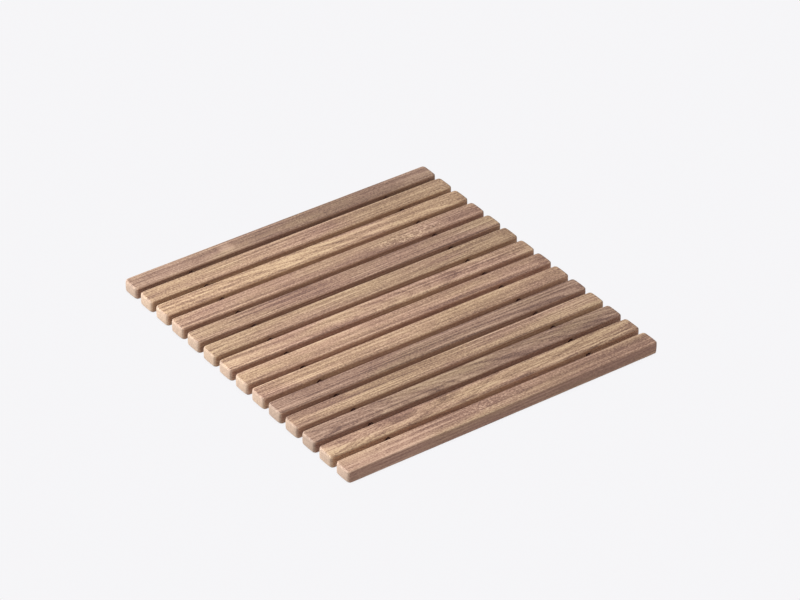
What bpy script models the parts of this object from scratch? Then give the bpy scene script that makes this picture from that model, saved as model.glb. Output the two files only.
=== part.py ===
"""Roll-up bath mat: wooden slats threaded side by side on two flexible cords.

Metres, +Z up. The origin is on the ground under the middle of the mat. The slats run along Y and lie side by side
along X, slat_01 at -X. The mat rolls up because each cord can bend in every gap between two slats.
"""

import math

import bmesh
import bpy
from mathutils import Matrix, Vector

# ---- driving dimensions ----
SLAT_COUNT = 14
SLAT_LENGTH = 0.500
SLAT_WIDTH = 0.030
SLAT_THICKNESS = 0.018
SLAT_GAP = 0.008
EDGE_RADIUS = 0.0022
CORNER_RADIUS = 0.0035

CORD_DIAMETER = 0.007
CORD_SPACING = 0.324
CORD_HEIGHT = SLAT_THICKNESS / 2
BORE_CLEARANCE = 0.0003
MOUTH_CHAMFER = 0.0007
BLIND_BORE_FLOOR = 0.008
CORD_END_CLEARANCE = 0.0005

PIN_DIAMETER = 0.002
PIN_CLEARANCE = 0.0003
PIN_RECESS = 0.0005
PIN_BITE = 0.0015
PIN_CHAMFER = 0.0003

# ---- fineness of the curved surfaces ----
EDGE_SEGMENTS = 3
BORE_SIDES = 24
PIN_SIDES = 16
CUT_OVERSHOOT = 0.002
SMOOTH_BELOW = math.radians(40)

# ---- sizes that follow from them ----
SLAT_PITCH = SLAT_WIDTH + SLAT_GAP
END_SLAT_X = (SLAT_COUNT - 1) / 2 * SLAT_PITCH
BORE_RADIUS = CORD_DIAMETER / 2 + BORE_CLEARANCE
BLIND_BORE_DEPTH = SLAT_WIDTH - BLIND_BORE_FLOOR
BLIND_BORE_END_X = END_SLAT_X + SLAT_WIDTH / 2 - BLIND_BORE_FLOOR
CORD_LENGTH = 2 * (BLIND_BORE_END_X - CORD_END_CLEARANCE)
PIN_X = BLIND_BORE_END_X - BLIND_BORE_DEPTH / 2
PIN_TOP = CORD_HEIGHT + BORE_RADIUS + PIN_BITE
PIN_LENGTH = PIN_TOP - PIN_RECESS
PIN_HOLE_RADIUS = PIN_DIAMETER / 2 + PIN_CLEARANCE

# ---- colours ----
WOOD_COLOURS = {
    "dark": (0.35, 0.225, 0.16, 1.0),
    "tan": (0.43, 0.275, 0.19, 1.0),
    "light": (0.47, 0.31, 0.215, 1.0),
    "pale": (0.53, 0.36, 0.24, 1.0),
}
SLAT_TONES = (
    "dark light pale light tan tan light light light dark tan dark tan tan"
).split()
CORD_COLOUR = (0.035, 0.028, 0.025, 1.0)
STEEL_COLOUR = (0.60, 0.60, 0.60, 1.0)


def clear_scene():
    for thing in list(bpy.data.objects):
        bpy.data.objects.remove(thing, do_unlink=True)


def make_material(name, colour, roughness, metallic=0.0):
    material = bpy.data.materials.new(name)
    material.use_nodes = True
    shader = material.node_tree.nodes["Principled BSDF"]
    shader.inputs["Base Color"].default_value = colour
    shader.inputs["Roughness"].default_value = roughness
    shader.inputs["Metallic"].default_value = metallic
    return material


def add_object(name, mesh, material=None):
    thing = bpy.data.objects.new(name, mesh)
    bpy.context.scene.collection.objects.link(thing)
    if material:
        # the slot belongs to the object, so that pieces that share a mesh keep their own materials
        if not mesh.materials:
            mesh.materials.append(None)
        thing.material_slots[0].link = "OBJECT"
        thing.material_slots[0].material = material
    return thing


def is_upright(edge):
    start, end = edge.verts
    return abs(start.co.z - end.co.z) > 1e-6


def rounded_block(name, size, edge_radius, corner_radius, segments):
    """A block resting on z = 0, centred in x and y. Its upright corners are rounded first, then its other edges."""
    bm = bmesh.new()
    bmesh.ops.create_cube(bm, size=1.0)
    bmesh.ops.scale(bm, vec=Vector(size), verts=bm.verts)
    bmesh.ops.translate(bm, vec=Vector((0, 0, size[2] / 2)), verts=bm.verts)
    for radius, upright in ((corner_radius, True), (edge_radius, False)):
        bmesh.ops.bevel(
            bm,
            geom=[edge for edge in bm.edges if is_upright(edge) == upright],
            offset=radius,
            segments=segments,
            profile=0.5,
            affect="EDGES",
        )
    mesh = bpy.data.meshes.new(name)
    bm.to_mesh(mesh)
    bm.free()
    return mesh


def turned_solid(name, profile, sides, turn):
    """A closed solid turned about Z from (height, radius) pairs, lowest first, and then carried by the matrix turn."""
    bm = bmesh.new()
    rings = []
    for height, radius in profile:
        ring = []
        for side in range(sides):
            angle = 2 * math.pi * side / sides
            ring.append(bm.verts.new((radius * math.cos(angle), radius * math.sin(angle), height)))
        rings.append(ring)
    for lower, upper in zip(rings, rings[1:]):
        for side in range(sides):
            following = (side + 1) % sides
            bm.faces.new((lower[side], lower[following], upper[following], upper[side]))
    bm.faces.new(list(reversed(rings[0])))
    bm.faces.new(rings[-1])
    bmesh.ops.transform(bm, matrix=turn, verts=bm.verts)
    mesh = bpy.data.meshes.new(name)
    bm.to_mesh(mesh)
    bm.free()
    return mesh


def lying_along_x(x, y, z):
    """Carries a solid turned about Z so that its start is at (x, y, z) and it runs along +X."""
    return Matrix.Translation((x, y, z)) @ Matrix.Rotation(math.pi / 2, 4, "Y")


def cut_mesh(name, mesh, cutter_meshes):
    """The mesh with every cutter taken out of it, smooth on its rounded edges and in its holes."""
    body = add_object(name + "_uncut", mesh)
    cutters = []
    for cutter_mesh in cutter_meshes:
        cutter = add_object(cutter_mesh.name, cutter_mesh)
        cutter.hide_render = True
        cutter.display_type = "WIRE"
        cutters.append(cutter)
        cut = body.modifiers.new(cutter.name, "BOOLEAN")
        cut.operation = "DIFFERENCE"
        cut.solver = "EXACT"
        cut.object = cutter
    bpy.context.view_layer.update()
    evaluated = body.evaluated_get(bpy.context.evaluated_depsgraph_get())
    result = bpy.data.meshes.new_from_object(evaluated)
    result.name = name
    for thing in [body, *cutters]:
        bpy.data.objects.remove(thing, do_unlink=True)
    result.shade_smooth()
    result.set_sharp_from_angle(angle=SMOOTH_BELOW)
    return result


def through_bore(y):
    """Cutter for a bore across a whole slat, with a chamfered mouth on each side."""
    half = SLAT_WIDTH / 2
    wide = BORE_RADIUS + MOUTH_CHAMFER + CUT_OVERSHOOT
    profile = [
        (-half - CUT_OVERSHOOT, wide),
        (-half + MOUTH_CHAMFER, BORE_RADIUS),
        (half - MOUTH_CHAMFER, BORE_RADIUS),
        (half + CUT_OVERSHOOT, wide),
    ]
    return turned_solid("through_bore", profile, BORE_SIDES, lying_along_x(0, y, CORD_HEIGHT))


def blind_bore(y):
    """Cutter for a bore from the -X side of a slat, with a chamfered mouth, that stops inside it."""
    half = SLAT_WIDTH / 2
    wide = BORE_RADIUS + MOUTH_CHAMFER + CUT_OVERSHOOT
    profile = [
        (-half - CUT_OVERSHOOT, wide),
        (-half + MOUTH_CHAMFER, BORE_RADIUS),
        (-half + BLIND_BORE_DEPTH, BORE_RADIUS),
    ]
    return turned_solid("blind_bore", profile, BORE_SIDES, lying_along_x(0, y, CORD_HEIGHT))


def pin_hole(x, y):
    """Cutter for a pin's hole, up from below the mat to just over the pin's top."""
    profile = [(-CUT_OVERSHOOT, PIN_HOLE_RADIUS), (PIN_TOP + PIN_CLEARANCE, PIN_HOLE_RADIUS)]
    return turned_solid("pin_hole", profile, PIN_SIDES, Matrix.Translation((x, y, 0)))


def cord_sides():
    return {"left": -CORD_SPACING / 2, "right": CORD_SPACING / 2}


def slat_block(name):
    size = (SLAT_WIDTH, SLAT_LENGTH, SLAT_THICKNESS)
    return rounded_block(name, size, EDGE_RADIUS, CORNER_RADIUS, EDGE_SEGMENTS)


def build_slats(wood):
    places = list(cord_sides().values())
    inner = cut_mesh("inner_slat", slat_block("inner_block"), [through_bore(y) for y in places])
    end_cutters = [blind_bore(y) for y in places] + [pin_hole(PIN_X - END_SLAT_X, y) for y in places]
    end = cut_mesh("end_slat", slat_block("end_block"), end_cutters)
    for index in range(SLAT_COUNT):
        is_end = index in (0, SLAT_COUNT - 1)
        slat = add_object(f"slat_{index + 1:02d}", end if is_end else inner, wood(index))
        slat.location.x = index * SLAT_PITCH - END_SLAT_X
        if index == 0:
            # the first slat is the last one turned round, so that its bores open towards the second
            slat.rotation_euler.z = math.pi


def build_cords(rubber):
    radius = CORD_DIAMETER / 2
    for side, y in cord_sides().items():
        turn = lying_along_x(-CORD_LENGTH / 2, y, CORD_HEIGHT)
        bar = turned_solid(f"cord_{side}_bar", [(0, radius), (CORD_LENGTH, radius)], BORE_SIDES, turn)
        mesh = cut_mesh(f"cord_{side}", bar, [pin_hole(x, y) for x in (-PIN_X, PIN_X)])
        add_object(f"cord_{side}", mesh, rubber)


def build_pins(steel):
    radius = PIN_DIAMETER / 2
    profile = [
        (0, radius - PIN_CHAMFER),
        (PIN_CHAMFER, radius),
        (PIN_LENGTH - PIN_CHAMFER, radius),
        (PIN_LENGTH, radius - PIN_CHAMFER),
    ]
    mesh = turned_solid("pin", profile, PIN_SIDES, Matrix.Identity(4))
    mesh.shade_smooth()
    mesh.set_sharp_from_angle(angle=SMOOTH_BELOW)
    for end, x in (("first", -PIN_X), ("last", PIN_X)):
        for side, y in cord_sides().items():
            pin = add_object(f"pin_{end}_{side}", mesh, steel)
            pin.location = (x, y, PIN_RECESS)


def slat_wood(index):
    tone = SLAT_TONES[index % len(SLAT_TONES)]
    return make_material(f"wood_{index + 1:02d}", WOOD_COLOURS[tone], 0.55)


def build_mat():
    clear_scene()
    build_slats(slat_wood)
    build_cords(make_material("cord_rubber", CORD_COLOUR, 0.4))
    build_pins(make_material("pin_steel", STEEL_COLOUR, 0.3, 1.0))


build_mat()
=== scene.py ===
"""The looks of the roll-up bath mat: oiled hardwood slats threaded side by side on two dark rubber cords.

Metres, +Z up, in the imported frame. The slats run along Y and lie beside each other along X, slat_01 at -X.
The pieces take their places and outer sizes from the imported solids, which they replace with finer ones.
"""

import math
from collections import namedtuple

import bmesh
import bpy
from mathutils import Matrix, Vector, noise


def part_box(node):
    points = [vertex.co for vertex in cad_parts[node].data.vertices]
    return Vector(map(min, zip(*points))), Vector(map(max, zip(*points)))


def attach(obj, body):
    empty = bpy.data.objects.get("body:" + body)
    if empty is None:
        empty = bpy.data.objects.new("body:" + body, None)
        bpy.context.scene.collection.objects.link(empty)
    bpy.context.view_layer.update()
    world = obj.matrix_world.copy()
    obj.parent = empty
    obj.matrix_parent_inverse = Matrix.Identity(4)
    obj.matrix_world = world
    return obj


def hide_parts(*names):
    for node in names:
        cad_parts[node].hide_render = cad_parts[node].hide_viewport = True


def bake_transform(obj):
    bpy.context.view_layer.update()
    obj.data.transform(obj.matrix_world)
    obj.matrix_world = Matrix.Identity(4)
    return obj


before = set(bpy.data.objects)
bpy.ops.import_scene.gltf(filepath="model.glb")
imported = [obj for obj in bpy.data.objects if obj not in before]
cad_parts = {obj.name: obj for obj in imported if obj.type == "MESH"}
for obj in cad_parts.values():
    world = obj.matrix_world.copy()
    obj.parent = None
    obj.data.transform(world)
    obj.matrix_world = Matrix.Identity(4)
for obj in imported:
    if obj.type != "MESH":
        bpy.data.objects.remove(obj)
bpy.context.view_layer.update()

# ---- sizes read from the frame ----
SLATS = sorted(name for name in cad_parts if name.startswith("slat_"))
CORDS = sorted(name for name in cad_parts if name.startswith("cord_"))
PINS = sorted(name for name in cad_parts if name.startswith("pin_"))
SLAT_BOXES = {name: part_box(name) for name in SLATS}
SLAT_SIZE = SLAT_BOXES[SLATS[0]][1] - SLAT_BOXES[SLATS[0]][0]

# ---- sizes of the finer shapes ----
EDGE_RADIUS = 0.0023
CORNER_RADIUS = 0.0050
EDGE_SEGMENTS = 6
EDGE_SUPPORT = 0.0006
CUTS_ACROSS = 5
CUTS_ALONG = 56
CUTS_UPWARDS = 3
BORE_CLEARANCE = 0.0003
MOUTH_CHAMFER = 0.0007
CUT_OVERSHOOT = 0.002
ROUND_SIDES = 40
SMOOTH_BELOW = math.radians(40)
SEGMENT_STEP = 0.0006
SEGMENT_JOINT = 0.0001
PIN_CLEARANCE = 0.0003
PIN_CHAMFER = 0.0003
PIN_DIMPLE = 0.35  # of the pin's radius
PIN_DIMPLE_POINT = 0.00005

# ---- how far a slat's surface is worn in ----
WAVES = 0.00007
RIPPLES = 0.00004
SANDED_PATCHES = 0.0005
SANDED_ENDS = 0.0012
END_SANDING = 0.010  # how far from an end
END_DOME = 0.0014

# Cells of the wear's noise in a metre, and how far each slat's noise lies from the last one's.
WAVE_CELLS = 22
RIPPLE_CELLS = Vector((60, 18, 60))
SANDING_CELLS = 30
SEED_STEPS = (3.7, 1.3, 2.1)


# ---- meshes ----
def mesh_from(bm, name):
    mesh = bpy.data.meshes.new(name)
    bm.to_mesh(mesh)
    bm.free()
    return mesh


def add_object(name, data):
    thing = bpy.data.objects.new(name, data)
    bpy.context.scene.collection.objects.link(thing)
    return thing


def shade(mesh):
    mesh.shade_smooth()
    mesh.set_sharp_from_angle(angle=SMOOTH_BELOW)


def paint(mesh, material):
    mesh.materials.clear()
    mesh.materials.append(material)


def turned(name, profile, turn, sides=ROUND_SIDES):
    """A closed solid turned about Z from (height, radius) pairs, lowest first, then carried by turn."""
    bm = bmesh.new()
    rings = []
    for height, radius in profile:
        ring = []
        for side in range(sides):
            angle = 2 * math.pi * side / sides
            ring.append(bm.verts.new((radius * math.cos(angle), radius * math.sin(angle), height)))
        rings.append(ring)
    for lower, upper in zip(rings, rings[1:]):
        for side in range(sides):
            following = (side + 1) % sides
            bm.faces.new((lower[side], lower[following], upper[following], upper[side]))
    bm.faces.new(list(reversed(rings[0])))
    bm.faces.new(rings[-1])
    bmesh.ops.transform(bm, matrix=turn, verts=bm.verts)
    return mesh_from(bm, name)


def along_x(x, y, z):
    """Carries a solid turned about Z so that it starts at (x, y, z) and runs along +X."""
    return Matrix.Translation((x, y, z)) @ Matrix.Rotation(math.pi / 2, 4, "Y")


def cut(name, mesh, cutter_meshes):
    """The mesh with every cutter taken out of it."""
    body = add_object(name + "_uncut", mesh)
    cutters = [add_object(cutter.name, cutter) for cutter in cutter_meshes]
    for cutter in cutters:
        modifier = body.modifiers.new(cutter.name, "BOOLEAN")
        modifier.operation = "DIFFERENCE"
        modifier.solver = "EXACT"
        modifier.object = cutter
    bpy.context.view_layer.update()
    evaluated = body.evaluated_get(bpy.context.evaluated_depsgraph_get())
    result = bpy.data.meshes.new_from_object(evaluated)
    result.name = name
    for thing in [body, *cutters]:
        bpy.data.objects.remove(thing, do_unlink=True)
    return result


# ---- slats ----
def is_upright(edge):
    start, end = edge.verts
    return abs(start.co.z - end.co.z) > 1e-6


def slice_flats(bm, low, high, axis, cuts, radius):
    """Cuts the flat faces into strips across the axis, with one cut close to the rounding at each side."""
    flat_low = low[axis] + radius + EDGE_SUPPORT
    flat_high = high[axis] - radius - EDGE_SUPPORT
    normal = Vector((0, 0, 0))
    normal[axis] = 1
    for step in range(cuts + 1):
        place = Vector((0, 0, 0))
        place[axis] = flat_low + (flat_high - flat_low) * step / cuts
        geometry = [*bm.verts, *bm.edges, *bm.faces]
        bmesh.ops.bisect_plane(bm, geom=geometry, dist=1e-7, plane_co=place, plane_no=normal)


def slat_block(low, high):
    """A slat's block, its upright corners rounded first and then its other edges, cut small for the wear."""
    bm = bmesh.new()
    bmesh.ops.create_cube(bm, size=1.0)
    bmesh.ops.scale(bm, vec=high - low, verts=bm.verts)
    for radius, upright in ((CORNER_RADIUS, True), (EDGE_RADIUS, False)):
        bmesh.ops.bevel(
            bm,
            geom=[edge for edge in bm.edges if is_upright(edge) == upright],
            offset=radius,
            segments=EDGE_SEGMENTS,
            profile=0.5,
            affect="EDGES",
        )
    bmesh.ops.translate(bm, vec=(low + high) / 2, verts=bm.verts)
    slice_flats(bm, low, high, 0, CUTS_ACROSS, EDGE_RADIUS)
    slice_flats(bm, low, high, 1, CUTS_ALONG, CORNER_RADIUS)
    slice_flats(bm, low, high, 2, CUTS_UPWARDS, EDGE_RADIUS)
    return bm


def wear(bm, low, high, seed):
    """Draws the surface in: planed faces that aren't dead flat, sanded edges, and ends a little domed."""
    bm.normal_update()
    centre = (low + high) / 2
    half = (high - low) / 2
    shift = Vector([seed * step for step in SEED_STEPS])
    moves = []
    for vertex in bm.verts:
        waves = WAVES * (0.5 + 0.5 * noise.noise(vertex.co * WAVE_CELLS + shift))
        ripples = RIPPLES * (0.5 + 0.5 * noise.noise(vertex.co * RIPPLE_CELLS + shift))
        edge = 1 - max(abs(component) for component in vertex.normal)
        patches = SANDED_PATCHES * (max(0.0, noise.noise(vertex.co * SANDING_CELLS - shift)) * edge)
        from_end = min(vertex.co.y - low.y, high.y - vertex.co.y)
        near_end = max(0.0, 1 - from_end / END_SANDING)
        move = -vertex.normal * (waves + ripples + patches + SANDED_ENDS * edge * near_end)
        across, along, up = ((vertex.co[axis] - centre[axis]) / half[axis] for axis in range(3))
        move.y -= math.copysign(END_DOME * near_end * (across**2 + up**2) / 2, along)
        moves.append(move)
    for vertex, move in zip(bm.verts, moves):
        vertex.co += move


def bore_cutter(slat_low, slat_high, cord, reaches_low, reaches_high):
    """Cutter for the bore of one cord through a slat, blind at a side that it doesn't reach."""
    cord_low, cord_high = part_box(cord)
    radius = (cord_high.y - cord_low.y) / 2 + BORE_CLEARANCE
    wide = radius + MOUTH_CHAMFER + CUT_OVERSHOOT
    start = slat_low.x - CUT_OVERSHOOT if reaches_low else cord_low.x - BORE_CLEARANCE
    end = slat_high.x + CUT_OVERSHOOT if reaches_high else cord_high.x + BORE_CLEARANCE
    profile = [(0, wide if reaches_low else radius)]
    if reaches_low:
        profile.append((slat_low.x + MOUTH_CHAMFER - start, radius))
    if reaches_high:
        profile.append((slat_high.x - MOUTH_CHAMFER - start, radius))
    profile.append((end - start, wide if reaches_high else radius))
    centre = (cord_low + cord_high) / 2
    return turned("bore", profile, along_x(start, centre.y, centre.z))


def pin_cutter(pin):
    """Cutter for a pin's hole, from below the mat to just over the pin's top."""
    pin_low, pin_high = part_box(pin)
    centre = (pin_low + pin_high) / 2
    radius = (pin_high.x - pin_low.x) / 2 + PIN_CLEARANCE
    height = pin_high.z + PIN_CLEARANCE + CUT_OVERSHOOT
    profile = [(0, radius), (height, radius)]
    return turned("pin_hole", profile, Matrix.Translation((centre.x, centre.y, -CUT_OVERSHOOT)))


def pins_in(low, high):
    """The pins that stand in the box from low to high, seen from above."""
    found = []
    for pin in PINS:
        pin_low, pin_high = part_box(pin)
        centre = (pin_low + pin_high) / 2
        if low.x < centre.x < high.x and low.y < centre.y < high.y:
            found.append(pin)
    return found


def build_slat(name, index):
    low, high = SLAT_BOXES[name]
    bm = slat_block(low, high)
    wear(bm, low, high, index + 1)
    first = index == 0
    last = index == len(SLATS) - 1
    cutters = [bore_cutter(low, high, cord, not first, not last) for cord in CORDS]
    cutters += [pin_cutter(pin) for pin in pins_in(low, high)]
    mesh = cut(f"{name}_wood", mesh_from(bm, f"{name}_block"), cutters)
    shade(mesh)
    paint(mesh, wood_material(f"{name}_wood", index))
    slat = add_object(f"{name}_wood", mesh)
    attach(slat, name)
    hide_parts(name)


# ---- cords ----
def segment_rings(start, end, bend_start, bend_end):
    """Places along a cord segment: close together where it bends, and one at each end."""
    count = math.ceil((bend_end - bend_start) / SEGMENT_STEP)
    between = [bend_start + (bend_end - bend_start) * step / count for step in range(count + 1)]
    return [start, *between, end]


def build_cord_segment(cord, index, rubber):
    """The stretch of a cord from one slat's middle to the next one's, its rings close together in the gap
    between them.
    """
    here, there = SLATS[index], SLATS[index + 1]
    cord_low, cord_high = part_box(cord)
    radius = (cord_high.y - cord_low.y) / 2
    centre = (cord_low + cord_high) / 2
    middles = [(SLAT_BOXES[name][0].x + SLAT_BOXES[name][1].x) / 2 for name in (here, there)]
    start = cord_low.x if index == 0 else middles[0] + SEGMENT_JOINT / 2
    end = cord_high.x if index == len(SLATS) - 2 else middles[1] - SEGMENT_JOINT / 2
    bend_start = SLAT_BOXES[here][1].x
    bend_end = SLAT_BOXES[there][0].x
    rings = segment_rings(start, end, bend_start, bend_end)
    name = f"{cord}_{index + 1:02d}"
    mesh = turned(name, [(x - start, radius) for x in rings], along_x(start, centre.y, centre.z))
    pins = pins_in(Vector((start, centre.y - radius, 0)), Vector((end, centre.y + radius, 0)))
    if pins:
        mesh = cut(name, mesh, [pin_cutter(pin) for pin in pins])
    shade(mesh)
    paint(mesh, rubber)
    segment = add_object(name, mesh)
    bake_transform(segment)
    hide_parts(cord)


# ---- pins ----
def build_pin(name, steel):
    low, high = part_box(name)
    radius = (high.x - low.x) / 2
    length = high.z - low.z
    profile = [
        (PIN_CHAMFER * 0.6, PIN_DIMPLE_POINT),
        (0, radius * PIN_DIMPLE),
        (0, radius - PIN_CHAMFER),
        (PIN_CHAMFER * 0.3, radius - PIN_CHAMFER * 0.3),
        (PIN_CHAMFER, radius),
        (length - PIN_CHAMFER * 2, radius),
        (length, radius - PIN_CHAMFER),
    ]
    centre = (low + high) / 2
    mesh = turned(f"{name}_steel", profile, Matrix.Translation((centre.x, centre.y, low.z)))
    shade(mesh)
    paint(mesh, steel)
    pin = add_object(f"{name}_steel", mesh)
    slat = SLATS[0] if "first" in name else SLATS[-1]
    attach(pin, slat)
    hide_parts(name)


# ---- materials ----
class Nodes:
    """Short words for a shader's nodes: each call adds a node or a few and returns what they give."""

    def __init__(self, tree):
        self.tree = tree

    def add(self, kind, inputs, output=0, **settings):
        node = self.tree.nodes.new(kind)
        for key, value in settings.items():
            setattr(node, key, value)
        for key, value in inputs.items():
            if isinstance(value, bpy.types.NodeSocket):
                self.tree.links.new(value, node.inputs[key])
            else:
                node.inputs[key].default_value = value
        return node.outputs[output]

    def math(self, operation, a, b=0.0):
        return self.add("ShaderNodeMath", {0: a, 1: b}, operation=operation)

    def vector(self, operation, a, b):
        return self.add("ShaderNodeVectorMath", {0: a, 1: b}, operation=operation)

    def split(self, value):
        """The X, Y and Z of a vector."""
        node = self.tree.nodes.new("ShaderNodeSeparateXYZ")
        self.tree.links.new(value, node.inputs[0])
        return node.outputs

    def squares(self, a, b):
        """The sum of two squares."""
        return self.math("ADD", self.math("MULTIPLY", a, a), self.math("MULTIPLY", b, b))

    def total(self, *terms):
        result = terms[0]
        for term in terms[1:]:
            result = self.math("ADD", result, term)
        return result

    def centred(self, value, strength):
        """The value, which is about 0.5 on average, as a swing about zero."""
        return self.math("MULTIPLY", self.math("SUBTRACT", value, 0.5), strength)

    def smooth(self, value, low, high, to_low=0.0, to_high=1.0):
        inputs = {"Value": value, "From Min": low, "From Max": high, "To Min": to_low, "To Max": to_high}
        return self.add("ShaderNodeMapRange", inputs, interpolation_type="SMOOTHSTEP")

    def noise(self, place, scale, detail=2.0, roughness=0.5):
        """Noise whose cells are stretched: scale is the number of cells in a metre along X, Y and Z."""
        stretched = self.vector("MULTIPLY", place, scale)
        inputs = {"Vector": stretched, "Scale": 1.0, "Detail": detail, "Roughness": roughness}
        return self.add("ShaderNodeTexNoise", inputs)

    def mix(self, factor, a, b, blend="MIX"):
        inputs = {0: factor, 6: a, 7: b}
        return self.add("ShaderNodeMix", inputs, output=2, data_type="RGBA", blend_type=blend)

    def tinted(self, colour, tint):
        return self.mix(1.0, colour, tint, "MULTIPLY")

    def bump(self, height, strength, distance):
        return self.add("ShaderNodeBump", {"Height": height, "Strength": strength, "Distance": distance})


def new_material(name):
    material = bpy.data.materials.new(name)
    material.use_nodes = True
    return material, Nodes(material.node_tree), material.node_tree.nodes["Principled BSDF"]


def finish_shader(nodes, shader, colour, roughness, bump):
    nodes.tree.links.new(colour, shader.inputs["Base Color"])
    nodes.tree.links.new(roughness, shader.inputs["Roughness"])
    nodes.tree.links.new(bump, shader.inputs["Normal"])


# ---- how each slat looks ----
# A mark is a soft streak on a slat. Its middle is at u, from 0 at the -Y end to 1, and at v, from 0 at the -X
# edge to 1. It reaches half_u and half_v to each side and climbs by slant in v over half_u. Its tone lightens
# the wood, or darkens it below 0. A fleck is a patch of small ray marks in the same terms.
Mark = namedtuple("Mark", "u v half_u half_v slant tone")

# How a slat was sawn and what it looks like. The shade multiplies its colour, and warmth leans it towards
# golden, or towards pinkish below 0. The pith is the centre of the growth rings, in slat widths across and up
# from the slat's own centre, and it drifts sideways and rises along the slat, in slat widths. The ring is the
# width of one growth ring, and contrast scales the rings and dashes.
Look = namedtuple("Look", "shade warmth pith drift rise ring contrast marks flecks", defaults=((), ()))

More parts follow.
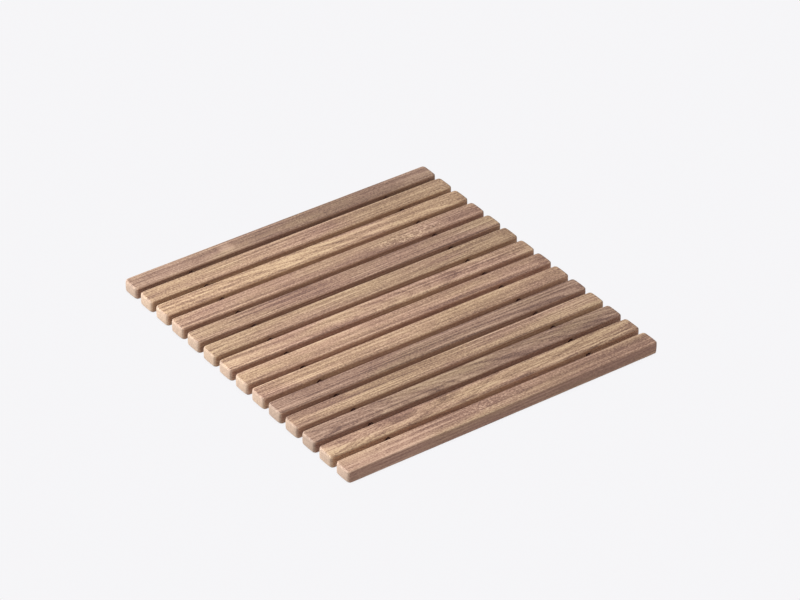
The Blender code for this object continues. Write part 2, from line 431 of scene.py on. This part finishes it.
# One for each slat, from slat_01 on.
LOOKS = [
    Look(
        0.71, -0.3, (2.6, -1.2), 0.5, 0.3, 0.0021, 0.9,
        (
            Mark(0.31, 0.5, 0.03, 0.45, 0.0, 0.6),
            Mark(0.40, 0.6, 0.08, 0.3, 0.0, -0.12),
            Mark(0.18, 0.3, 0.10, 0.15, 0.0, 0.12),
            Mark(0.97, 0.5, 0.10, 1.2, 0.0, 0.25),
            Mark(0.06, 0.5, 0.16, 1.2, 0.0, 0.22),
            Mark(0.60, 0.5, 0.34, 1.2, 0.0, -0.16),
        ),
    ),
    Look(
        0.96, 0.3, (-2.2, -1.6), 0.3, 0.2, 0.0024, 0.7,
        (
            Mark(0.23, 0.7, 0.08, 0.1, 0.0, -0.12),
            Mark(0.50, 0.5, 0.12, 1.2, 0.0, 0.12),
            Mark(0.81, 0.5, 0.12, 1.2, 0.0, -0.15),
        ),
    ),
    Look(
        1.07, 0.5, (0.7, -2.0), -1.1, 0.8, 0.0030, 0.9,
        (
            Mark(0.36, 0.45, 0.12, 0.08, 0.4, 0.25),
            Mark(0.36, 0.62, 0.08, 0.05, 0.25, -0.2),
            Mark(0.985, 0.8, 0.02, 0.3, 0.0, -0.25),
            Mark(0.60, 0.5, 0.24, 1.2, 0.0, 0.18),
        ),
    ),
    Look(
        0.95, 0.0, (3.4, 0.4), 0.2, 0.0, 0.0018, 0.6,
        (Mark(0.69, 0.5, 0.10, 1.2, 0.0, -0.12),),
        (Mark(0.76, 0.6, 0.16, 0.45, 0.0, 1.0),),
    ),
    Look(
        0.88, -0.1, (1.4, -1.2), 0.9, 0.3, 0.0026, 1.1,
        (
            Mark(0.18, 0.72, 0.10, 0.10, -0.05, 0.35),
            Mark(0.15, 0.45, 0.08, 0.06, 0.0, -0.2),
            Mark(0.40, 0.25, 0.10, 0.2, 0.0, -0.18),
            Mark(0.86, 0.6, 0.10, 0.1, -0.3, 0.2),
            Mark(0.88, 0.3, 0.08, 0.05, -0.1, -0.25),
            Mark(0.26, 0.5, 0.15, 1.2, 0.0, -0.10),
            Mark(0.92, 0.5, 0.10, 1.2, 0.0, 0.10),
        ),
    ),
    Look(
        0.935, 0.3, (-1.2, -1.6), 0.6, 0.4, 0.0022, 0.9,
        (
            Mark(0.86, 0.30, 0.20, 0.04, -0.15, -0.3),
            Mark(0.88, 0.55, 0.18, 0.04, -0.12, -0.3),
            Mark(0.90, 0.80, 0.14, 0.04, -0.10, -0.25),
            Mark(0.98, 0.5, 0.03, 0.5, 0.0, -0.2),
            Mark(0.38, 0.5, 0.20, 1.2, 0.0, 0.10),
        ),
    ),
    Look(
        1.01, -0.1, (0.2, -1.3), 0.8, 1.2, 0.0026, 0.8,
        (
            Mark(0.20, 0.15, 0.24, 0.12, 0.0, 0.2),
            Mark(0.03, 0.5, 0.04, 0.4, 0.0, 0.2),
            Mark(0.35, 0.9, 0.10, 0.06, 0.0, -0.3),
        ),
    ),
    Look(
        1.05, 0.0, (2.6, -1.4), -0.3, 0.2, 0.0024, 0.7,
        (
            Mark(0.30, 0.5, 0.14, 1.2, 0.0, 0.18),
            Mark(0.69, 0.5, 0.12, 1.2, 0.0, -0.12),
            Mark(0.78, 0.88, 0.26, 0.04, 0.0, -0.4),
            Mark(0.98, 0.6, 0.02, 0.5, 0.0, -0.3),
        ),
    ),
    Look(
        1.06, 0.2, (-2.8, -1.0), 0.3, 0.1, 0.0023, 0.7,
        (
            Mark(0.14, 0.7, 0.14, 0.2, 0.0, 0.15),
            Mark(0.45, 0.5, 0.10, 1.2, 0.0, 0.12),
            Mark(0.68, 0.5, 0.10, 1.2, 0.0, -0.15),
        ),
    ),
    Look(
        0.795, -0.4, (1.0, -1.6), 0.9, 0.5, 0.0020, 1.2,
        (
            Mark(0.10, 0.5, 0.10, 0.05, 0.30, -0.35),
            Mark(0.16, 0.75, 0.06, 0.1, 0.0, 0.2),
            Mark(0.87, 0.4, 0.12, 0.06, 0.1, -0.25),
            Mark(0.04, 0.5, 0.08, 1.2, 0.0, 0.2),
            Mark(0.45, 0.5, 0.20, 1.2, 0.0, -0.12),
        ),
    ),
    Look(
        1.0, 0.2, (-1.8, -1.5), -0.4, 0.3, 0.0021, 0.9,
        (
            Mark(0.30, 0.5, 0.10, 0.05, 0.15, -0.2),
            Mark(0.40, 0.5, 0.20, 1.2, 0.0, -0.15),
            Mark(0.93, 0.5, 0.14, 1.2, 0.0, 0.2),
        ),
    ),
    Look(
        0.78, -0.3, (0.5, -1.3), -0.8, 1.0, 0.0024, 1.2,
        (
            Mark(0.06, 0.45, 0.03, 0.12, 0.0, 0.45),
            Mark(0.07, 0.82, 0.06, 0.05, 0.0, -0.45),
            Mark(0.24, 0.15, 0.05, 0.10, 0.1, -0.35),
            Mark(0.29, 0.65, 0.05, 0.08, 0.15, 0.4),
            Mark(0.66, 0.15, 0.10, 0.12, 0.0, -0.3),
            Mark(0.80, 0.5, 0.12, 0.05, 0.3, 0.4),
            Mark(0.92, 0.8, 0.07, 0.08, 0.0, -0.3),
            Mark(0.08, 0.5, 0.12, 1.2, 0.0, 0.12),
            Mark(0.83, 0.5, 0.15, 1.2, 0.0, -0.10),
        ),
    ),
    Look(
        1.07, 0.1, (-0.4, -1.4), 1.0, 1.0, 0.0030, 1.2,
        (
            Mark(0.07, 0.55, 0.08, 0.09, -0.45, 0.35),
            Mark(0.12, 0.65, 0.08, 0.07, -0.45, -0.4),
            Mark(0.25, 0.4, 0.05, 0.25, 0.0, -0.25),
            Mark(0.35, 0.5, 0.04, 0.3, 0.0, 0.2),
            Mark(0.44, 0.8, 0.05, 0.12, 0.0, -0.4),
            Mark(0.53, 0.6, 0.06, 0.2, 0.2, 0.25),
            Mark(0.72, 0.35, 0.10, 0.06, 0.25, -0.3),
            Mark(0.82, 0.6, 0.15, 0.05, 0.3, 0.25),
            Mark(0.69, 0.5, 0.10, 1.2, 0.0, 0.15),
        ),
    ),
    Look(
        1.02, -0.3, (2.4, -1.0), 0.5, 0.2, 0.0024, 0.8,
        (
            Mark(0.14, 0.5, 0.20, 1.2, 0.0, 0.38),
            Mark(0.50, 0.5, 0.12, 1.2, 0.0, -0.14),
            Mark(0.20, 0.5, 0.03, 0.3, -0.2, 0.2),
            Mark(0.57, 0.5, 0.04, 0.4, 0.0, -0.12),
            Mark(0.78, 0.5, 0.26, 1.2, 0.0, -0.25),
            Mark(0.98, 0.5, 0.05, 1.2, 0.0, -0.10),
        ),
        (Mark(0.48, 0.45, 0.12, 0.4, 0.0, 0.5),),
    ),
]


# ---- wood ----
WOOD_DARK = (0.088, 0.043, 0.0290, 1.0)
WOOD_MIDDLE = (0.213, 0.129, 0.0865, 1.0)
WOOD_LIGHT = (0.345, 0.239, 0.1675, 1.0)
# End faces: partly the sanded end grain's own paler colour, partly a painted sheen of the light falling on
# them.
END_GRAIN_AND_SHEEN = (0.42, 0.32, 0.245, 1.0)
WOOD_SPECULAR = 0.35

# Tints that multiply the wood's colour. The sides' tints are painted light: all sides get a redder, darker
# one, painted shade with warm light bounced between wood faces, and the walls that face +X in the gaps get a
# lighter one than the other sides, in place of the light that a bright room throws into the gaps.
GOLDEN = (1.02, 1.045, 0.90, 1.0)
PINKISH = (1.01, 0.955, 0.96, 1.0)
SIDE_PAINTED_WARM_SHADE = (0.98, 0.90, 0.92, 1.0)
GAP_WALL_PAINTED_LIGHT = (1.30, 1.15, 1.08, 1.0)

Spot = namedtuple("Spot", "own across along height u v")


def slat_spot(nodes, index):
    """Where a point of a slat is: in the slat's own noise space, from its centre, and as shares of it."""
    low, high = SLAT_BOXES[SLATS[index]]
    place = nodes.add("ShaderNodeTexCoord", {}, output="Object")
    own = nodes.vector("ADD", place, (0.31 * index, 0.17 * index, 0.23 * index))
    x, y, z = nodes.split(place)
    across = nodes.math("SUBTRACT", x, (low.x + high.x) / 2)
    height = nodes.math("SUBTRACT", z, (low.z + high.z) / 2)
    u = nodes.math("DIVIDE", nodes.math("SUBTRACT", y, low.y), SLAT_SIZE.y)
    v = nodes.math("DIVIDE", nodes.math("SUBTRACT", x, low.x), SLAT_SIZE.x)
    return Spot(own, across, y, height, u, v)


def mark_mask(nodes, spot, mark):
    """1 in the middle of the mark, falling smoothly to 0 at its rim."""
    along = nodes.math("DIVIDE", nodes.math("SUBTRACT", spot.u, mark.u), mark.half_u)
    middle = nodes.math("ADD", nodes.math("MULTIPLY", along, mark.slant), mark.v)
    across = nodes.math("DIVIDE", nodes.math("SUBTRACT", spot.v, middle), mark.half_v)
    return nodes.smooth(nodes.squares(along, across), 0.0, 1.0, 1.0, 0.0)


def growth_rings(nodes, spot, look, seed):
    """Rings about the pith, as (bands of uneven tone, thin dark late-wood lines)."""
    width = SLAT_SIZE.x
    sideways = nodes.math("MULTIPLY", spot.along, look.drift * width / SLAT_SIZE.y)
    upwards = nodes.math("MULTIPLY", spot.along, look.rise * width / SLAT_SIZE.y)
    warp = nodes.centred(nodes.noise(spot.own, (14, 4, 14), 3.0), 0.009)
    dx = nodes.total(spot.across, sideways, warp, -look.pith[0] * width)
    dz = nodes.total(spot.height, upwards, warp, -look.pith[1] * width)
    radius = nodes.math("SQRT", nodes.squares(dx, dz))
    phase = nodes.math("DIVIDE", radius, look.ring)
    bands = nodes.add(
        "ShaderNodeTexNoise",
        {"W": nodes.math("ADD", phase, seed * 17.0), "Scale": 0.8, "Detail": 2.0, "Roughness": 0.6},
        noise_dimensions="1D",
    )
    turn = nodes.math("FRACT", phase)
    late = nodes.math("MULTIPLY", nodes.smooth(turn, 0.45, 0.92), nodes.smooth(turn, 0.94, 1.0, 1.0, 0.0))
    return bands, late


def grain_tone(nodes, spot, look, bands, late, fibres, clouds, pores):
    """How light the wood is, from 0 to 1: the sum of its rings, streaks and marks."""
    streaks = nodes.noise(spot.own, (340, 3.0, 340), 3.0, 0.6)
    mottle = nodes.noise(spot.own, (520, 45, 520), 3.0, 0.6)
    speckle = nodes.noise(spot.own, (900, 300, 900), 2.0, 0.6)
    dashes = nodes.smooth(nodes.noise(spot.own, (520, 42, 520), 2.0), 0.56, 0.72)
    tone = nodes.total(
        0.55,
        nodes.centred(bands, 0.9 * look.contrast),
        nodes.centred(streaks, 1.8),
        nodes.centred(mottle, 0.65),
        nodes.centred(speckle, 2.0),
        nodes.centred(fibres, 0.9),
        nodes.centred(clouds, 0.7),
        nodes.math("MULTIPLY", late, -0.20 * look.contrast),
        nodes.math("MULTIPLY", dashes, -0.18 * look.contrast),
        nodes.math("MULTIPLY", pores, -0.22),
    )
    for mark in look.marks:
        broken = nodes.math("MULTIPLY", mark_mask(nodes, spot, mark), nodes.smooth(fibres, 0.2, 0.6))
        tone = nodes.math("ADD", tone, nodes.math("MULTIPLY", broken, mark.tone))
    for fleck in look.flecks:
        rays = nodes.smooth(nodes.noise(spot.own, (420, 260, 420), 1.0), 0.54, 0.64)
        seen = nodes.math("MULTIPLY", rays, mark_mask(nodes, spot, fleck))
        tone = nodes.math("ADD", tone, nodes.math("MULTIPLY", seen, fleck.tone))
    return tone


def tone_colour(nodes, tone):
    ramp = nodes.tree.nodes.new("ShaderNodeValToRGB")
    stops = ramp.color_ramp.elements
    stops[0].color = WOOD_DARK
    stops[1].color = WOOD_LIGHT
    stops.new(0.5).color = WOOD_MIDDLE
    nodes.tree.links.new(tone, ramp.inputs[0])
    return ramp.outputs[0]


def wood_material(name, index):
    look = LOOKS[index % len(LOOKS)]
    material, nodes, shader = new_material(name)
    spot = slat_spot(nodes, index)
    bands, late = growth_rings(nodes, spot, look, index + 1)
    fibres = nodes.noise(spot.own, (1100, 12, 1100), 3.0, 0.6)
    clouds = nodes.noise(spot.own, (30, 6, 30), 3.0)
    pores = nodes.smooth(nodes.noise(spot.own, (2300, 90, 2300), 1.0), 0.60, 0.70)
    tone = grain_tone(nodes, spot, look, bands, late, fibres, clouds, pores)

    facing = nodes.add("ShaderNodeTexCoord", {}, output="Normal")
    facing_x = nodes.split(facing)[0]
    facing_size = nodes.add("ShaderNodeVectorMath", {0: facing}, operation="ABSOLUTE")
    side_share, end_share, top_share = nodes.split(facing_size)
    flatness = nodes.math("MAXIMUM", nodes.math("MAXIMUM", side_share, end_share), top_share)
    side = nodes.smooth(side_share, 0.5, 0.95)
    calmer = nodes.math("MULTIPLY", nodes.math("SUBTRACT", 0.5, tone), 0.5)
    tone = nodes.math("ADD", tone, nodes.math("MULTIPLY", calmer, side))

    hue = nodes.smooth(nodes.math("ADD", clouds, look.warmth * 0.3), 0.3, 0.7)
    colour = nodes.tinted(tone_colour(nodes, tone), nodes.mix(hue, PINKISH, GOLDEN))
    colour = nodes.tinted(colour, (look.shade, look.shade, look.shade, 1.0))
    # Painted light on the sides: a redder, darker tint as painted shade and bounce, a lighter one on the +X
    # gap walls.
    side_painted_light = SIDE_PAINTED_WARM_SHADE
    if index < len(SLATS) - 1:
        side_painted_light = nodes.mix(nodes.math("GREATER_THAN", facing_x, 0.0), SIDE_PAINTED_WARM_SHADE, GAP_WALL_PAINTED_LIGHT)
    colour = nodes.mix(side, colour, nodes.tinted(colour, side_painted_light))
    sanded = nodes.smooth(flatness, 0.70, 0.98, 0.12, 0.0)
    colour = nodes.mix(sanded, colour, WOOD_LIGHT)
    # End faces turn paler: partly sanded end grain, partly a painted sheen.
    sawn_shade = 0.5 + 0.5 * look.shade
    sawn_end_and_sheen = nodes.tinted(END_GRAIN_AND_SHEEN, (sawn_shade, sawn_shade, sawn_shade, 1.0))
    colour = nodes.mix(nodes.smooth(end_share, 0.55, 0.95, 0.0, 0.55), colour, sawn_end_and_sheen)

    rough = nodes.total(0.60, nodes.centred(fibres, 0.20), nodes.math("MULTIPLY", pores, 0.10))
    relief = nodes.total(
        nodes.centred(fibres, 0.8),
        nodes.math("MULTIPLY", pores, -0.9),
        nodes.math("MULTIPLY", late, 0.25),
    )
    finish_shader(nodes, shader, colour, rough, nodes.bump(relief, 0.5, 0.00012))
    shader.inputs["Specular IOR Level"].default_value = WOOD_SPECULAR
    return material


# ---- rubber and steel ----
RUBBER_DARK = (0.046, 0.018, 0.015, 1.0)
RUBBER_BLOOM = (0.080, 0.038, 0.033, 1.0)
RUBBER_SPECULAR = 0.05
STEEL_DARK = (0.50, 0.49, 0.47, 1.0)
STEEL_LIGHT = (0.62, 0.61, 0.60, 1.0)


def rubber_material():
    """Extruded brown-black rubber: dull, with faint lines along it and a little bloom."""
    material, nodes, shader = new_material("cord_rubber")
    place = nodes.add("ShaderNodeTexCoord", {}, output="Object")
    lines = nodes.noise(place, (20, 2600, 2600), 2.0)
    bloom = nodes.noise(place, (160, 160, 160), 3.0)
    colour = nodes.mix(nodes.smooth(bloom, 0.35, 0.75), RUBBER_DARK, RUBBER_BLOOM)
    rough = nodes.total(0.46, nodes.centred(bloom, 0.16))
    finish_shader(nodes, shader, colour, rough, nodes.bump(lines, 0.25, 0.00004))
    shader.inputs["Specular IOR Level"].default_value = RUBBER_SPECULAR
    return material


def steel_material():
    """Stainless pin stock: drawn lines along it and a few dull stains."""
    material, nodes, shader = new_material("pin_steel")
    place = nodes.add("ShaderNodeTexCoord", {}, output="Object")
    drawn = nodes.noise(place, (5200, 5200, 120), 2.0)
    stain = nodes.noise(place, (900, 900, 900), 2.0)
    colour = nodes.mix(nodes.smooth(stain, 0.3, 0.7), STEEL_DARK, STEEL_LIGHT)
    rough = nodes.total(0.30, nodes.centred(drawn, 0.24))
    finish_shader(nodes, shader, colour, rough, nodes.bump(drawn, 0.3, 0.00003))
    shader.inputs["Metallic"].default_value = 1.0
    return material


# ---- stage ----
FLOOR_HALF = 6.0
FLOOR_COLOUR = (0.97, 0.97, 0.97, 1.0)
CONTACT_REACH = 0.008
CONTACT_SHARE = 0.12
PALE = (0.922, 0.917, 0.935, 1.0)
KEY_DIRECTION = Vector((-0.6, -1.1, 1.0))
KEY_DISTANCE = 1.5
KEY_SIZE = 0.8
KEY_ENERGY = 42
RIM_DIRECTION = Vector((-1.0, -0.1, 0.13))
RIM_DISTANCE = 4.0
RIM_SIZE = 1.2
RIM_ENERGY = 160
CAMERA_AZIMUTH = math.radians(53.9)
CAMERA_ELEVATION = math.radians(35.0)
CAMERA_ROLL = math.radians(0.76)
CAMERA_DISTANCE = 5.094
LENS = 172.1
SENSOR = 36
SHIFT = (0.0145, 0.0265)
CLIP_END = 100


def floor_material():
    """Pale, and clear where nothing is close above it, so that only the shade of contact shows."""
    material, nodes, shader = new_material("floor")
    shader.inputs["Base Color"].default_value = FLOOR_COLOUR
    shader.inputs["Roughness"].default_value = 1.0
    shader.inputs["Specular IOR Level"].default_value = 0.0
    open_sky = nodes.add("ShaderNodeAmbientOcclusion", {"Distance": CONTACT_REACH}, output="AO", samples=16)
    shade_share = nodes.smooth(open_sky, 0.0, 1.0, CONTACT_SHARE, 0.0)
    nodes.tree.links.new(shade_share, shader.inputs["Alpha"])
    return material


def build_floor():
    bm = bmesh.new()
    bmesh.ops.create_grid(bm, x_segments=1, y_segments=1, size=FLOOR_HALF)
    mesh = mesh_from(bm, "floor")
    paint(mesh, floor_material())
    floor = add_object("floor", mesh)
    return floor


def build_world():
    world = bpy.data.worlds.new("pale_room")
    world.use_nodes = True
    world.node_tree.nodes["Background"].inputs["Color"].default_value = PALE
    bpy.context.scene.world = world


def build_light(name, direction, distance, size, energy, not_lit):
    light = bpy.data.lights.new(name, "AREA")
    light.shape = "DISK"
    light.size = size
    light.energy = energy
    lamp = add_object(name, light)
    lamp.location = direction.normalized() * distance
    lamp.rotation_euler = direction.to_track_quat("Z", "Y").to_euler()
    lamp.light_linking.receiver_collection = not_lit


def build_lights(floor):
    """A large soft key on the -Y side and a rim low at -X. Both leave the floor to the pale world."""
    not_lit = bpy.data.collections.new("not_lit")
    not_lit.objects.link(floor)
    not_lit.collection_objects[0].light_linking.link_state = "EXCLUDE"
    build_light("key", KEY_DIRECTION, KEY_DISTANCE, KEY_SIZE, KEY_ENERGY, not_lit)
    build_light("rim", RIM_DIRECTION, RIM_DISTANCE, RIM_SIZE, RIM_ENERGY, not_lit)


def build_camera():
    """A long lens from the +X, -Y side, rolled a little, its view shifted so that the mat sits off centre."""
    flat = math.cos(CAMERA_ELEVATION)
    back = Vector(
        (
            math.sin(CAMERA_AZIMUTH) * flat,
            -math.cos(CAMERA_AZIMUTH) * flat,
            math.sin(CAMERA_ELEVATION),
        )
    )
    level = Vector((0, 0, 1)).cross(back).normalized()
    right = Matrix.Rotation(CAMERA_ROLL, 3, back) @ level
    up = back.cross(right)
    place = Matrix((right, up, back)).transposed().to_4x4()
    place.translation = back * CAMERA_DISTANCE
    data = bpy.data.cameras.new("camera")
    data.sensor_width = SENSOR
    data.lens = LENS
    data.shift_x, data.shift_y = SHIFT
    data.clip_end = CLIP_END
    camera = add_object("camera", data)
    camera.matrix_world = place
    bpy.context.scene.camera = camera


def build_mat():
    for index, name in enumerate(SLATS):
        build_slat(name, index)
    rubber = rubber_material()
    for cord in CORDS:
        for index in range(len(SLATS) - 1):
            build_cord_segment(cord, index, rubber)
    steel = steel_material()
    for name in PINS:
        build_pin(name, steel)


build_mat()
build_world()
build_lights(build_floor())
build_camera()
bpy.context.scene.view_settings.view_transform = "Standard"
